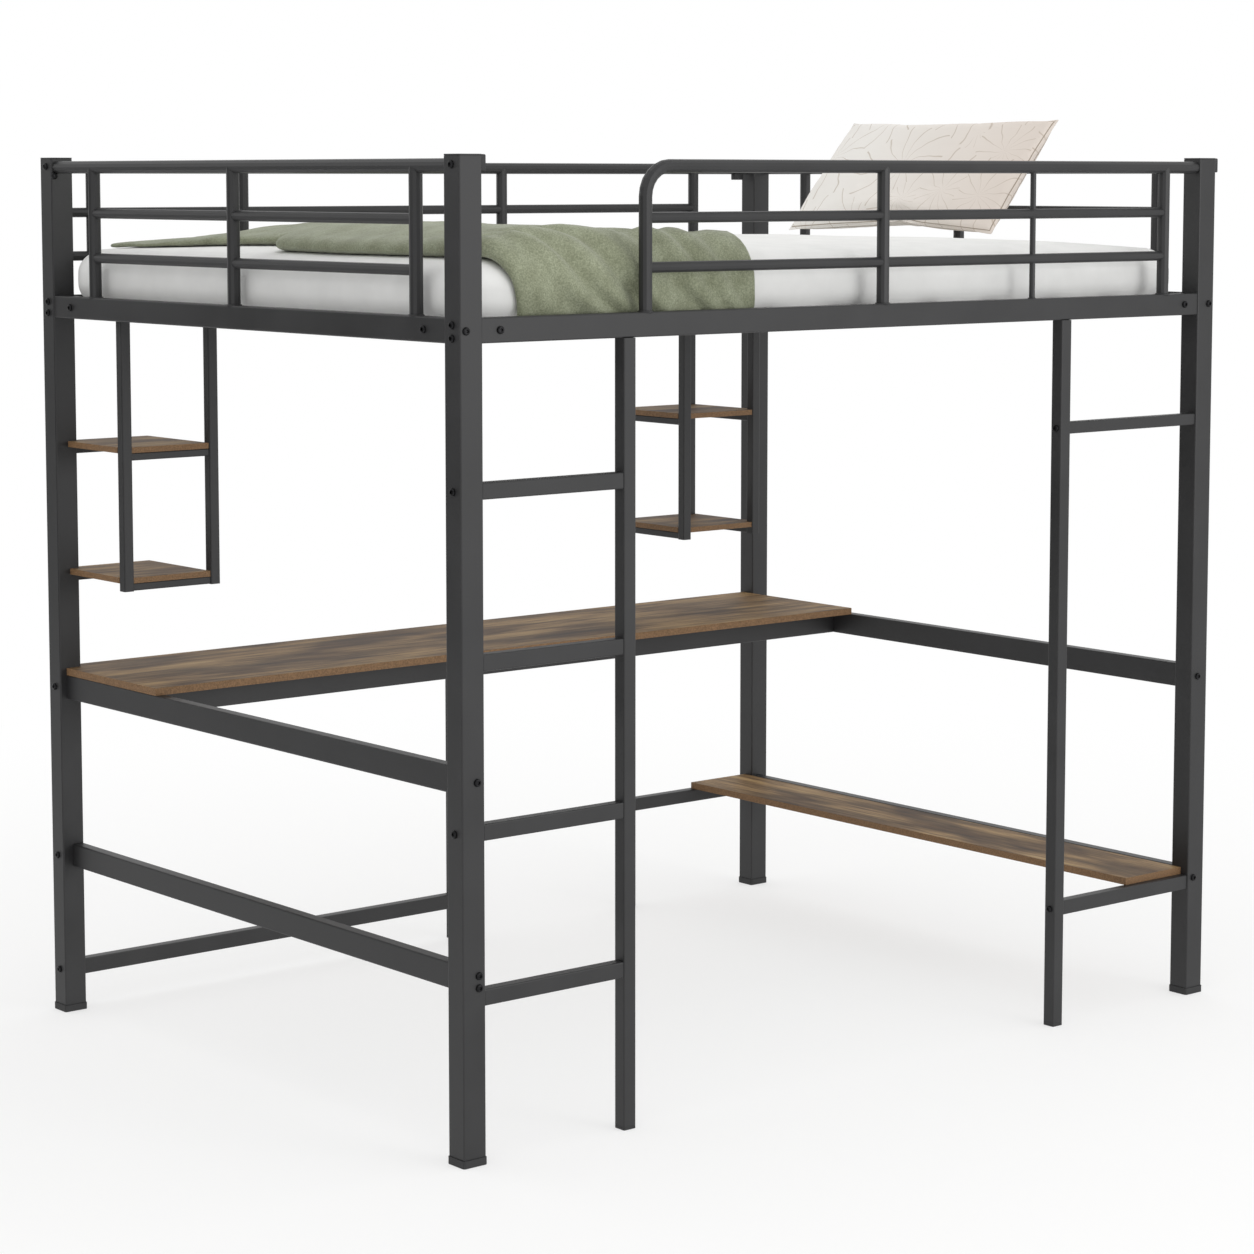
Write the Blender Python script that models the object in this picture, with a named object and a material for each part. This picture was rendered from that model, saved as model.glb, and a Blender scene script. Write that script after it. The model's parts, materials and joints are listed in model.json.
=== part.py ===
"""Loft bed with desk: a bolted steel tube frame with a desk, a bench, hanging shelves and bedding.

Frame: metres, +Z up, X along the bed, -Y is the ladder side, +X is the head end.
The origin is on the floor, at the middle of the footprint.
"""
import bpy
import bmesh
from math import cos, pi, radians, sin
from mathutils import Euler, Matrix, Vector

# ---- driving dimensions -------------------------------------------------------------------
LENGTH = 1.980          # over the corner posts, along X
WIDTH = 1.450           # over the corner posts, along Y
HEIGHT = 1.790          # floor to the top of a post cap

POST_X, POST_Y = 0.049, 0.046
WALL = 0.0015           # steel wall of the posts and rails
THIN_WALL = 0.0012      # steel wall of the small tubes
GAP = 0.0003            # clearance between touching pieces
CORNER = 0.0025         # outer corner radius of the square tubes
INNER_CORNER = 0.0002

FOOT_PLATE = 0.0055
FOOT_HEIGHT = 0.014
FOOT_LIP = 0.0018
CAP_PLATE = 0.003
PLUG_DEPTH = 0.018

RAIL_LOW, RAIL_TOP = 1.462, 1.507       # bed rails
RAIL_THICK = 0.025
RAIL_INSET = 0.002

GUARD_TOP, GUARD_MIDDLE, GUARD_LOW = 1.770, 1.677, 1.587
GUARD_RADIUS = 0.0125
BAR_RADIUS = 0.010
PIN_RADIUS = 0.006
GUARD_BEND = 0.055
GUARD_LEG_X = -0.561                    # the bent leg beside the ladder opening
FRONT_UPRIGHTS = (0.035, 0.844)
FRONT_PIN_X = 0.451
BACK_UPRIGHTS = (-0.878, -0.507, 0.194, 0.773)
END_UPRIGHTS = (-0.577, 0.0155, 0.533)

DESK_TOP = 0.731
BOARD_THICK = 0.015
DESK_FRONT_Y = 0.325
DESK_BACK_Y = 0.715
APRON_Y = 0.390
DESK_RAIL_HEIGHT = 0.050
DESK_END_X = 0.975                      # outer face of the desk end rail on the left
DESK_END_IN = 0.943                     # inner face of the one on the right

LOW_END_X = 0.967
LOW_END_Z = (0.309, 0.357)
BENCH_RAIL_HEIGHT = 0.0455              # the rail at the end of the bench
BACK_RAIL_Z = (0.072, 0.105)
BENCH_TOP = 0.2765
BENCH_WIDTH = 0.1755
BENCH_END_Y = 0.705

LEG = 0.028                             # square tube of the ladder and the small legs
LADDER_X = -0.609
SUPPORT_X = 0.540
RUNG_HEIGHT, RUNG_DEPTH = 0.030, 0.025
RUNG_INSET = 0.0015
SUPPORT_BAR = 0.024
SUPPORT_INSET = 0.003
RUNG_CENTRES = (0.302, 0.599, 0.901, 1.204)
SUPPORT_BAR_TOP = 1.2535
BACK_LEG_X = (0.042, 0.561)             # desk legs at the back

SHELF_TUBE = 0.022
SHELF_BAR = 0.015
SHELF_BOARD = 0.012
SHELF_TOPS = (1.205, 0.939)
SHELF_LOW = 0.911
SHELF_FRONT_Y = 0.458
LEFT_SHELF_X = (-0.9625, -0.735)
RIGHT_SHELF_X = (0.530, 0.765)
SHELF_BACK_Y = 0.712
SHELF_EASE = 0.003                      # of a shelf board behind the hangers' faces

SLAT_TOP = 1.482
SLAT_THICK = 0.010
SLAT_WIDTH = 0.050
SLATS_PER_HALF = 6
SIDE_STRIP = 0.020
INNER_STRIP_Y = 0.469
STRIP_EASE = 0.0002                     # keeps the strips' faces off the slats' faces
BEAM_HALF = 0.0125                      # half the width of the cross beam under the slats

MATTRESS = (1.900, 1.364, 0.120)
MATTRESS_ROUND = 0.030
THROW_X = (-0.900, -0.275)
THROW_THICK = 0.045                     # of its folded layers on the mattress
THROW_HANG = 0.009                      # of the part that hangs at the front
THROW_DROP = 1.512                      # its lowest edge, inside the front rail
THROW_BACK_Y = 0.640
THROW_EASE = 0.001                      # between the throw and the mattress
PILLOW = (0.345, 0.660, 0.100)
PILLOW_TILT = 50.3
PILLOW_CENTRE = (0.875, 0.010, 1.750)
PILLOW_CROWN = 0.4                      # how steeply its faces rise from the seam

ROUND_SIDES = 12                        # of a round bar

HALF_X, HALF_Y = LENGTH / 2, WIDTH / 2
INNER_X = HALF_X - POST_X               # the posts' inner faces
INNER_Y = HALF_Y - POST_Y
DESK_UNDER = DESK_TOP - BOARD_THICK
BENCH_UNDER = BENCH_TOP - BOARD_THICK


def clear_scene():
    for item in list(bpy.data.objects):
        bpy.data.objects.remove(item)


def make_material(name, colour, roughness, metallic=0.0):
    material = bpy.data.materials.new(name)
    material.use_nodes = True
    shader = material.node_tree.nodes["Principled BSDF"]
    shader.inputs["Base Color"].default_value = (*colour, 1.0)
    shader.inputs["Roughness"].default_value = roughness
    shader.inputs["Metallic"].default_value = metallic
    return material


def finish(name, mesh, material, smooth=False):
    """Puts a mesh in the scene as one named sub-part."""
    mesh.name = name
    mesh.materials.clear()
    mesh.materials.append(material)
    if smooth:
        mesh.shade_smooth()
        mesh.set_sharp_from_angle(angle=radians(35))
    part = bpy.data.objects.new(name, mesh)
    bpy.context.scene.collection.objects.link(part)
    return part


def bmesh_to_mesh(shape):
    bmesh.ops.recalc_face_normals(shape, faces=shape.faces)
    mesh = bpy.data.meshes.new("shape")
    shape.to_mesh(mesh)
    shape.free()
    return mesh


def block_mesh(low, high):
    """A solid box between two corners."""
    shape = bmesh.new()
    size = Vector(high) - Vector(low)
    middle = (Vector(high) + Vector(low)) / 2
    bmesh.ops.create_cube(shape, size=1.0, matrix=Matrix.Translation(middle) @ Matrix.Diagonal((*size, 1.0)))
    return bmesh_to_mesh(shape)


def rounded_outline(low_a, low_b, high_a, high_b, radius):
    """A rectangle's outline with three points round each corner."""
    points = []
    corners = ((high_a - radius, high_b - radius), (low_a + radius, high_b - radius),
               (low_a + radius, low_b + radius), (high_a - radius, low_b + radius))
    for quarter, (a, b) in enumerate(corners):
        for turn in (0, 45, 90):
            angle = radians(90 * quarter + turn)
            points.append((a + radius * cos(angle), b + radius * sin(angle)))
    return points


def outline_ring(shape, low, high, axis, level, inset):
    """The rounded outline of a bar's section, as new vertices at one level along its axis."""
    a, b = [i for i in range(3) if i != axis]
    radius = INNER_CORNER if inset else min(CORNER, (high[a] - low[a]) / 8, (high[b] - low[b]) / 8)
    ring = []
    low_a, low_b, high_a, high_b = low[a] + inset, low[b] + inset, high[a] - inset, high[b] - inset
    for at_a, at_b in rounded_outline(low_a, low_b, high_a, high_b, radius):
        point = [0.0, 0.0, 0.0]
        point[axis], point[a], point[b] = level, at_a, at_b
        ring.append(shape.verts.new(point))
    return ring


def solid_bar_mesh(low, high, axis):
    """A solid bar with rounded long edges between two corners."""
    shape = bmesh.new()
    ends = [outline_ring(shape, low, high, axis, level, 0.0) for level in (low[axis], high[axis])]
    for i in range(len(ends[0])):
        k = (i + 1) % len(ends[0])
        shape.faces.new((ends[0][i], ends[0][k], ends[1][k], ends[1][i]))
    for end in ends:
        shape.faces.new(end)
    return bmesh_to_mesh(shape)


def tube_mesh(low, high, axis, wall):
    """A rectangular tube between two corners, open at both ends along its axis (0, 1 or 2)."""
    shape = bmesh.new()
    outer = [outline_ring(shape, low, high, axis, level, 0.0) for level in (low[axis], high[axis])]
    inner = [outline_ring(shape, low, high, axis, level, wall) for level in (low[axis], high[axis])]
    for i in range(len(outer[0])):
        k = (i + 1) % len(outer[0])
        shape.faces.new((outer[0][i], outer[0][k], outer[1][k], outer[1][i]))
        shape.faces.new((inner[0][k], inner[0][i], inner[1][i], inner[1][k]))
        shape.faces.new((outer[0][k], outer[0][i], inner[0][i], inner[0][k]))
        shape.faces.new((outer[1][i], outer[1][k], inner[1][k], inner[1][i]))
    return bmesh_to_mesh(shape)


def plate_mesh(outline, low, high):
    """A flat board with the given plan outline between two heights."""
    shape = bmesh.new()
    face = shape.faces.new([shape.verts.new((x, y, low)) for x, y in outline])
    raised = bmesh.ops.extrude_face_region(shape, geom=[face])
    top = [item for item in raised["geom"] if isinstance(item, bmesh.types.BMVert)]
    bmesh.ops.translate(shape, verts=top, vec=(0, 0, high - low))
    return bmesh_to_mesh(shape)


def rod_mesh(points, radius):
    """A round bar along a few points, with closed ends."""
    curve = bpy.data.curves.new("rod", "CURVE")
    curve.dimensions = "3D"
    curve.bevel_depth = radius
    curve.bevel_resolution = (ROUND_SIDES - 4) // 2
    curve.use_fill_caps = True
    spline = curve.splines.new("POLY")
    spline.points.add(len(points) - 1)
    for target, point in zip(spline.points, points):
        target.co = (*point, 1.0)
    guide = bpy.data.objects.new("rod", curve)
    bpy.context.scene.collection.objects.link(guide)
    mesh = bpy.data.meshes.new_from_object(guide.evaluated_get(bpy.context.evaluated_depsgraph_get()))
    bpy.data.objects.remove(guide)
    shape = bmesh.new()
    shape.from_mesh(mesh)
    bmesh.ops.remove_doubles(shape, verts=shape.verts, dist=0.00001)
    return bmesh_to_mesh(shape)


def weld(meshes):
    """Joins overlapping meshes into one body, as a weld does."""
    pieces = []
    for mesh in meshes:
        piece = bpy.data.objects.new("piece", mesh)
        bpy.context.scene.collection.objects.link(piece)
        pieces.append(piece)
    body = pieces[0]
    for piece in pieces[1:]:
        join = body.modifiers.new("weld", "BOOLEAN")
        join.operation = "UNION"
        join.solver = "EXACT"
        join.object = piece
    mesh = bpy.data.meshes.new_from_object(body.evaluated_get(bpy.context.evaluated_depsgraph_get()))
    for piece in pieces:
        bpy.data.objects.remove(piece)
    return mesh


def bar(name, low, high, axis, material, wall=WALL):
    return finish(name, tube_mesh(low, high, axis, wall), material, smooth=True)


# ---- corner posts ---------------------------------------------------------------------------
def corner(side_x, side_y, inset=0.0):
    """Low and high X, Y of the post at a corner, less an inset all round."""
    xs = sorted((side_x * (HALF_X - inset), side_x * (INNER_X + inset)))
    ys = sorted((side_y * (HALF_Y - inset), side_y * (INNER_Y + inset)))
    return xs, ys


def make_post(place, side_x, side_y, steel, plastic):
    xs, ys = corner(side_x, side_y)
    bar(f"post_{place}", (xs[0], ys[0], FOOT_PLATE), (xs[1], ys[1], HEIGHT - CAP_PLATE - GAP), 2, steel)

    plug_xs, plug_ys = corner(side_x, side_y, WALL + GAP)
    top = plate_mesh(rounded_outline(xs[0], ys[0], xs[1], ys[1], CORNER), HEIGHT - CAP_PLATE, HEIGHT)
    plug = block_mesh((plug_xs[0], plug_ys[0], HEIGHT - PLUG_DEPTH),
                      (plug_xs[1], plug_ys[1], HEIGHT - CAP_PLATE / 2))
    finish(f"post_cap_{place}", weld([top, plug]), plastic)

    lip_xs, lip_ys = corner(side_x, side_y, -FOOT_LIP)
    hole_xs, hole_ys = corner(side_x, side_y, -GAP)
    outline = rounded_outline(lip_xs[0], lip_ys[0], lip_xs[1], lip_ys[1], CORNER + FOOT_LIP)
    cup = bpy.data.objects.new("cup", plate_mesh(outline, 0.0, FOOT_HEIGHT))
    hole = bpy.data.objects.new("hole", block_mesh((hole_xs[0], hole_ys[0], FOOT_PLATE - GAP),
                                                   (hole_xs[1], hole_ys[1], FOOT_HEIGHT * 2)))
    for item in (cup, hole):
        bpy.context.scene.collection.objects.link(item)
    cut = cup.modifiers.new("socket", "BOOLEAN")
    cut.operation = "DIFFERENCE"
    cut.solver = "EXACT"
    cut.object = hole
    mesh = bpy.data.meshes.new_from_object(cup.evaluated_get(bpy.context.evaluated_depsgraph_get()))
    for item in (cup, hole):
        bpy.data.objects.remove(item)
    finish(f"foot_{place}", mesh, plastic)


def make_posts(steel, plastic):
    for place, side_x, side_y in (("front_left", -1, -1), ("front_right", 1, -1),
                                  ("back_left", -1, 1), ("back_right", 1, 1)):
        make_post(place, side_x, side_y, steel, plastic)


# ---- bed rails and the slatted base -------------------------------------------------------------
def make_bed_rails(steel):
    reach_x, reach_y = INNER_X - GAP, INNER_Y - GAP
    for place, side in (("front", -1), ("back", 1)):
        ys = sorted((side * (HALF_Y - RAIL_INSET), side * (HALF_Y - RAIL_INSET - RAIL_THICK)))
        bar(f"bed_rail_{place}", (-reach_x, ys[0], RAIL_LOW), (reach_x, ys[1], RAIL_TOP), 0, steel)
    for place, side in (("left", -1), ("right", 1)):
        xs = sorted((side * (HALF_X - RAIL_INSET), side * (HALF_X - RAIL_INSET - RAIL_THICK)))
        bar(f"bed_rail_{place}", (xs[0], -reach_y, RAIL_LOW), (xs[1], reach_y, RAIL_TOP), 1, steel)


def make_slat_half(name, low_x, high_x, steel):
    """Side strips welded to cross slats, bolted between the bed rails."""
    edge = HALF_Y - RAIL_INSET - RAIL_THICK - 2 * GAP
    strips = []
    for centre in (-edge + SIDE_STRIP / 2, -INNER_STRIP_Y, 0.0, INNER_STRIP_Y, edge - SIDE_STRIP / 2):
        strips.append(block_mesh((low_x, centre - SIDE_STRIP / 2, RAIL_LOW),
                                 (high_x, centre + SIDE_STRIP / 2, SLAT_TOP - SLAT_THICK / 2)))
    pitch = (high_x - low_x - SLAT_WIDTH) / (SLATS_PER_HALF - 1)
    slats = []
    for i in range(SLATS_PER_HALF):
        start = low_x + i * pitch
        slats.append(block_mesh((start, -edge, SLAT_TOP - SLAT_THICK), (start + SLAT_WIDTH, edge, SLAT_TOP)))
    for strip in strips:
        for vertex in strip.vertices:
            vertex.co.x += STRIP_EASE if vertex.co.x < (low_x + high_x) / 2 else -STRIP_EASE
            vertex.co.y *= 1 - STRIP_EASE
    finish(name, weld(slats[:1] + strips + slats[1:]), steel)


def make_bed_base(steel):
    outer = INNER_X - 2 * GAP
    reach = HALF_Y - RAIL_INSET - RAIL_THICK - GAP
    bar("centre_beam", (-BEAM_HALF, -reach, RAIL_LOW), (BEAM_HALF, reach, SLAT_TOP), 1, steel, THIN_WALL)
    make_slat_half("slat_base_left", -outer, -BEAM_HALF - GAP, steel)
    make_slat_half("slat_base_right", BEAM_HALF + GAP, outer, steel)


# ---- guard rails -----------------------------------------------------------------------------
def upright(x, y, radius=GUARD_RADIUS, top=GUARD_TOP):
    return rod_mesh(((x, y, RAIL_TOP + GAP), (x, y, top)), radius)


def make_end_guard(name, side, steel):
    x = side * (HALF_X - RAIL_INSET - RAIL_THICK / 2)
    reach = INNER_Y - GAP
    parts = [rod_mesh(((x, -reach, GUARD_TOP), (x, reach, GUARD_TOP)), GUARD_RADIUS)]
    parts += [upright(x, y) for y in END_UPRIGHTS]
    for level in (GUARD_MIDDLE, GUARD_LOW):
        parts.append(rod_mesh(((x, END_UPRIGHTS[0], level), (x, END_UPRIGHTS[-1], level)), BAR_RADIUS))
    finish(name, weld(parts), steel, smooth=True)


def make_back_guard(steel):
    y = HALF_Y - RAIL_INSET - RAIL_THICK / 2
    reach = INNER_X - GAP
    parts = [rod_mesh(((-reach, y, GUARD_TOP), (reach, y, GUARD_TOP)), GUARD_RADIUS)]
    parts += [upright(x, y) for x in BACK_UPRIGHTS]
    for level in (GUARD_MIDDLE, GUARD_LOW):
        parts.append(rod_mesh(((-reach, y, level), (BACK_UPRIGHTS[-1], y, level)), BAR_RADIUS))
    finish("guard_rail_back", weld(parts), steel, smooth=True)


def make_front_guard(steel):
    """One bent tube beside the ladder opening, with uprights and two lower bars."""
    y = -(HALF_Y - RAIL_INSET - RAIL_THICK / 2)
    bend = []
    for step in range(7):
        angle = pi - step * pi / 12
        along, drop = GUARD_BEND * (1 + cos(angle)), GUARD_BEND * (1 - sin(angle))
        bend.append((GUARD_LEG_X + along, y, GUARD_TOP - drop))
    hoop = [(GUARD_LEG_X, y, RAIL_TOP + GAP), *bend, (INNER_X - GAP, y, GUARD_TOP)]
    parts = [rod_mesh(hoop, GUARD_RADIUS)]
    parts += [upright(x, y) for x in FRONT_UPRIGHTS]
    for level in (GUARD_MIDDLE, GUARD_LOW):
        parts.append(rod_mesh(((GUARD_LEG_X, y, level), (FRONT_UPRIGHTS[-1], y, level)), BAR_RADIUS))
    parts.append(upright(FRONT_PIN_X, y, PIN_RADIUS))
    finish("guard_rail_front", weld(parts), steel, smooth=True)


# ---- desk ------------------------------------------------------------------------------------
def make_desk(steel, wood):
    under, low = DESK_UNDER - GAP, DESK_UNDER - GAP - DESK_RAIL_HEIGHT
    reach_y = INNER_Y - GAP
    left = (-DESK_END_X, -DESK_END_X + RAIL_THICK)
    right = (DESK_END_IN, DESK_END_IN + RAIL_THICK)
    bar("desk_end_rail_left", (left[0], -reach_y, low), (left[1], reach_y, under), 1, steel)
    bar("desk_end_rail_right", (right[0], -reach_y, low), (right[1], reach_y, under), 1, steel)
    front_y = (APRON_Y, APRON_Y + RAIL_THICK)
    bar("desk_rail_front", (left[1] + GAP, front_y[0], low), (right[0] - GAP, front_y[1], under), 0, steel)
    reach_x = INNER_X - GAP
    bar("desk_rail_back", (-reach_x, DESK_BACK_Y - RAIL_THICK, low), (reach_x, DESK_BACK_Y, under), 0, steel)
    notch_y = INNER_Y - 2 * GAP
    outline = ((-DESK_END_X, DESK_FRONT_Y), (reach_x, DESK_FRONT_Y), (reach_x, DESK_BACK_Y),
               (-reach_x, DESK_BACK_Y), (-reach_x, notch_y), (-DESK_END_X, notch_y))
    finish("desk_board", plate_mesh(outline, DESK_UNDER, DESK_TOP), wood)


def make_small_leg(name, foot_name, x, low_y, top, steel, plastic):
    """A square leg on a plastic plug foot."""
    half = LEG / 2
    bar(name, (x - half, low_y, FOOT_PLATE + GAP), (x + half, low_y + LEG, top), 2, steel, THIN_WALL)
    inset = THIN_WALL + GAP
    sole = plate_mesh(rounded_outline(x - half, low_y, x + half, low_y + LEG, CORNER), 0.0, FOOT_PLATE)
    plug = block_mesh((x - half + inset, low_y + inset, FOOT_PLATE / 2),
                      (x + half - inset, low_y + LEG - inset, FOOT_PLATE + PLUG_DEPTH))
    finish(foot_name, weld([sole, plug]), plastic)


def make_desk_legs(steel, plastic):
    top = DESK_UNDER - DESK_RAIL_HEIGHT - 2 * GAP
    low_y = DESK_BACK_Y - LEG
    for place, x in zip(("middle", "right"), BACK_LEG_X):
        make_small_leg(f"desk_leg_{place}", f"desk_leg_foot_{place}", x, low_y, top, steel, plastic)


# ---- lower rails and the bench ------------------------------------------------------------------
def make_lower_rails(steel):
    reach_y = INNER_Y - GAP
    bar("lower_end_rail_left", (-LOW_END_X, -reach_y, LOW_END_Z[0]),
        (-LOW_END_X + RAIL_THICK, reach_y, LOW_END_Z[1]), 1, steel)
    inner_x, top = INNER_X + 2 * GAP, BENCH_TOP + 3 * GAP
    bar("lower_end_rail_right", (inner_x, -reach_y, top - BENCH_RAIL_HEIGHT),
        (inner_x + RAIL_THICK, reach_y, top), 1, steel)
    reach_x = INNER_X - GAP
    ys = (DESK_BACK_Y - RAIL_THICK, DESK_BACK_Y)
    bar("back_rail_low_left", (-reach_x, ys[0], BACK_RAIL_Z[0]),
        (BACK_LEG_X[0] - LEG / 2 - GAP, ys[1], BACK_RAIL_Z[1]), 0, steel)
    bar("back_rail_low_right", (BACK_LEG_X[1] + LEG / 2 + GAP, ys[0], BENCH_UNDER - GAP - RUNG_HEIGHT),
        (reach_x, ys[1], BENCH_UNDER - GAP), 0, steel)


def make_bench(wood):
    far = INNER_X - GAP
    outline = ((far - BENCH_WIDTH, -BENCH_END_Y), (far, -BENCH_END_Y), (far, BENCH_END_Y),
               (far - BENCH_WIDTH, BENCH_END_Y))
    finish("bench_board", plate_mesh(outline, BENCH_UNDER, BENCH_TOP), wood)


# ---- ladder and the support frame at the head end ---------------------------------------------------
def make_ladder(steel, plastic):
    make_small_leg("ladder_leg", "ladder_foot", LADDER_X, -HALF_Y, RAIL_LOW - GAP, steel, plastic)
    start, end = -INNER_X + GAP, LADDER_X - LEG / 2 - GAP
    low_y = -HALF_Y + RUNG_INSET
    for number, centre in enumerate(RUNG_CENTRES, 1):
        bar(f"ladder_rung_{number}", (start, low_y, centre - RUNG_HEIGHT / 2),
            (end, low_y + RUNG_DEPTH, centre + RUNG_HEIGHT / 2), 0, steel, THIN_WALL)


def make_support_frame(steel, plastic):
    make_small_leg("support_leg", "support_foot", SUPPORT_X, -HALF_Y, RAIL_LOW - GAP, steel, plastic)
    start, end = SUPPORT_X + LEG / 2 + GAP, INNER_X - GAP
    low_y = -HALF_Y + SUPPORT_INSET
    bars = (("upper", SUPPORT_BAR_TOP, SUPPORT_BAR), ("lower", BENCH_UNDER - GAP, RUNG_HEIGHT))
    for place, top, height in bars:
        low, high = (start, low_y, top - height), (end, low_y + SUPPORT_BAR, top)
        bar(f"support_bar_{place}", low, high, 0, steel, THIN_WALL)


# ---- hanging shelves -----------------------------------------------------------------------------
def hanger_mesh(x, y):
    return solid_bar_mesh((x, y, SHELF_LOW), (x + SHELF_TUBE, y + SHELF_TUBE, RAIL_LOW - 2 * GAP), 2)


def shelf_bar_levels():
    """Low and high Z of the two bars that carry the boards."""
    return [(top - SHELF_BOARD - GAP - SHELF_BAR, top - SHELF_BOARD - GAP) for top in SHELF_TOPS]


def make_left_shelf_frame(steel):
    """Two hangers joined by front bars, and two back bars on the back post."""
    x0, x1 = LEFT_SHELF_X
    ease = (SHELF_TUBE - SHELF_BAR) / 2
    parts = [hanger_mesh(x0, SHELF_FRONT_Y), hanger_mesh(x1 - SHELF_TUBE, SHELF_FRONT_Y)]
    for low, high in shelf_bar_levels():
        parts.append(solid_bar_mesh((x0 + ease, SHELF_FRONT_Y + ease, max(low, SHELF_LOW + GAP)),
                                    (x1 - ease, SHELF_FRONT_Y + SHELF_TUBE - ease, high), 0))
    finish("shelf_frame_left_front", weld(parts), steel, smooth=True)
    for place, (low, high) in zip(("upper", "lower"), shelf_bar_levels()):
        bar(f"shelf_bar_left_{place}", (-INNER_X + GAP, SHELF_BACK_Y - SHELF_TUBE, low),
            (x1 - SHELF_TUBE, SHELF_BACK_Y - SHELF_TUBE + SHELF_BAR, high), 0, steel, THIN_WALL)


def make_right_shelf_frame(steel):
    """Two side frames, each of a front and a back hanger joined by two bars."""
    x0, x1 = RIGHT_SHELF_X
    ease = (SHELF_TUBE - SHELF_BAR) / 2
    for place, x in (("left", x0), ("right", x1 - SHELF_TUBE)):
        parts = [hanger_mesh(x, SHELF_FRONT_Y), hanger_mesh(x, SHELF_BACK_Y - SHELF_TUBE)]
        for low, high in shelf_bar_levels():
            parts.append(solid_bar_mesh((x + ease, SHELF_FRONT_Y + ease, max(low, SHELF_LOW + GAP)),
                                        (x + SHELF_TUBE - ease, SHELF_BACK_Y - ease, high), 1))
        finish(f"shelf_frame_right_{place}", weld(parts), steel, smooth=True)


def make_shelf_boards(wood):
    front, back = SHELF_FRONT_Y + SHELF_EASE, SHELF_BACK_Y - SHELF_EASE
    step_front, step_back = SHELF_FRONT_Y + SHELF_TUBE + GAP, SHELF_BACK_Y - SHELF_TUBE - GAP
    x0, x1 = LEFT_SHELF_X
    in0, in1 = x0 + SHELF_TUBE + GAP, x1 - SHELF_TUBE - GAP
    notch_y = INNER_Y - 2 * GAP
    far, wall_x = back - 2 * SHELF_EASE, -INNER_X + GAP
    left_outline = ((in0, front), (in1, front), (in1, far), (wall_x, far), (wall_x, notch_y), (x0, notch_y),
                    (x0, step_front), (in0, step_front))
    a0, a1 = RIGHT_SHELF_X
    b0, b1 = a0 + SHELF_TUBE + GAP, a1 - SHELF_TUBE - GAP
    right_outline = ((b0, front), (b1, front), (b1, step_front), (a1, step_front), (a1, step_back),
                     (b1, step_back), (b1, back), (b0, back), (b0, step_back), (a0, step_back),
                     (a0, step_front), (b0, step_front))
    for side, outline in (("left", left_outline), ("right", right_outline)):
        for place, top in zip(("upper", "lower"), SHELF_TOPS):
            finish(f"shelf_board_{side}_{place}", plate_mesh(outline, top - SHELF_BOARD, top), wood)


# ---- bedding -------------------------------------------------------------------------------------
def rounded_block_mesh(size, centre, radius, segments):
    shape = bmesh.new()
    bmesh.ops.create_cube(shape, size=1.0, matrix=Matrix.Diagonal((*size, 1.0)))
    bmesh.ops.bevel(shape, geom=shape.edges[:], offset=radius, segments=segments, profile=0.5, affect="EDGES")
    bmesh.ops.translate(shape, verts=shape.verts, vec=centre)
    return bmesh_to_mesh(shape)


def make_mattress(cloth):
    low = SLAT_TOP + 2 * GAP
    mesh = rounded_block_mesh(MATTRESS, (0, 0, low + MATTRESS[2] / 2), MATTRESS_ROUND, 3)
    finish("mattress", mesh, cloth, smooth=True)
    return low + MATTRESS[2]


def make_throw(cloth, bed_top):
    """A slab on the mattress whose front edge turns down inside the front guard."""
    inner = -MATTRESS[1] / 2 - THROW_EASE
    outer = inner - THROW_HANG
    under = bed_top + THROW_EASE
    over = under + THROW_THICK
    profile = ((THROW_BACK_Y, under), (THROW_BACK_Y, over), (outer, over), (outer, THROW_DROP),
               (inner, THROW_DROP), (inner, under))
    shape = bmesh.new()
    face = shape.faces.new([shape.verts.new((THROW_X[0], y, z)) for y, z in profile])
    swept = bmesh.ops.extrude_face_region(shape, geom=[face])
    end = [item for item in swept["geom"] if isinstance(item, bmesh.types.BMVert)]
    bmesh.ops.translate(shape, verts=end, vec=(THROW_X[1] - THROW_X[0], 0, 0))
    finish("throw", bmesh_to_mesh(shape), cloth)


def make_pillow(cloth):
    """A lens of two quilted faces that meet at the seam, leaning on the head guard."""
    rows, columns = 10, 14
    shape = bmesh.new()
    lean = Euler((0, -radians(PILLOW_TILT), 0)).to_matrix()

    def point(i, j, face):
        u, v = 2 * i / rows - 1, 2 * j / columns - 1
        plump = PILLOW[2] / 2 * ((1 - u * u) * (1 - v * v)) ** PILLOW_CROWN
        return Vector(PILLOW_CENTRE) + lean @ Vector((u * PILLOW[0] / 2, v * PILLOW[1] / 2, face * plump))

    rims = {}

    def vertex(i, j, face):
        if i in (0, rows) or j in (0, columns):
            face = 0
        if (i, j, face) not in rims:
            rims[i, j, face] = shape.verts.new(point(i, j, face))
        return rims[i, j, face]

    for face in (1, -1):
        for i in range(rows):
            for j in range(columns):
                square = [vertex(i, j, face), vertex(i + 1, j, face),
                          vertex(i + 1, j + 1, face), vertex(i, j + 1, face)]
                shape.faces.new(square if face > 0 else square[::-1])
    finish("pillow", bmesh_to_mesh(shape), cloth, smooth=True)


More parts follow.
